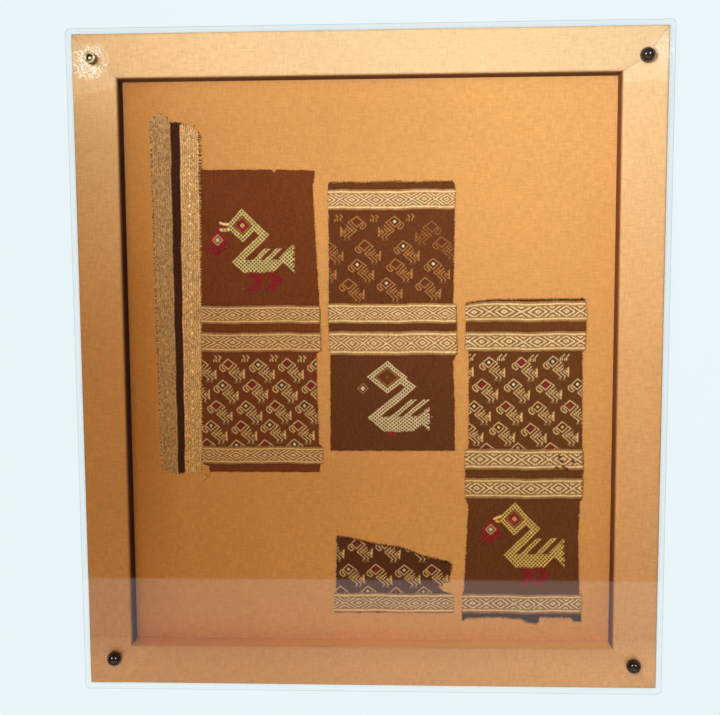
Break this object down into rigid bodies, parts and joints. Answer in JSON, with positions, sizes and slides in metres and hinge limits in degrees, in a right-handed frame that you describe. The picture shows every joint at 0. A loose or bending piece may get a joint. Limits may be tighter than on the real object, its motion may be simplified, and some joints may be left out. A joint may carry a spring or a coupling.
{
  "type": "framed textile panel",
  "caption": "Old woven textile fragments with birds and diamond bands, mounted flat on ochre cloth inside a cloth-covered frame under a clear box cover.",
  "frame": {"origin": "centre of the back face that the panel rests on, lying face up", "axes": "+X to the viewer's right, +Y towards the top edge, +Z out of the face"},
  "size_m": [0.507, 0.573, 0.0359],
  "materials": {
    "wood_board": "matt",
    "ground_cloth": "plain weave, matt",
    "rail_cloth": "plain weave, matt",
    "clear_acrylic": "clear, polished, lightly scratched",
    "brass_fitting": "polished",
    "black_collar": "satin",
    "dark_cap": "glossy",
    "cream_weave": "patterned weave, matt",
    "brown_weave": "patterned weave, matt"
  },
  "bodies": {
    "root": {"backing_board": "wood_board", "ground_cloth": "ground_cloth", "rail_top": "rail_cloth", "rail_right": "rail_cloth", "rail_bottom": "rail_cloth", "rail_left": "rail_cloth", "cover_front": "clear_acrylic", "cover_left": "clear_acrylic", "cover_right": "clear_acrylic", "cover_top": "clear_acrylic", "cover_bottom": "clear_acrylic", "screw_top_left": "brass_fitting", "screw_top_right": "brass_fitting", "screw_bottom_right": "brass_fitting", "screw_bottom_left": "brass_fitting", "ring_top_left": "brass_fitting", "collar_top_left": "black_collar", "cap_top_right": "dark_cap", "cap_bottom_right": "dark_cap", "cap_bottom_left": "dark_cap", "strip_a": "cream_weave", "panel_b": "brown_weave", "panel_c": "brown_weave", "panel_d": "brown_weave", "fragment_e": "brown_weave"}
  },
  "joints": []
}
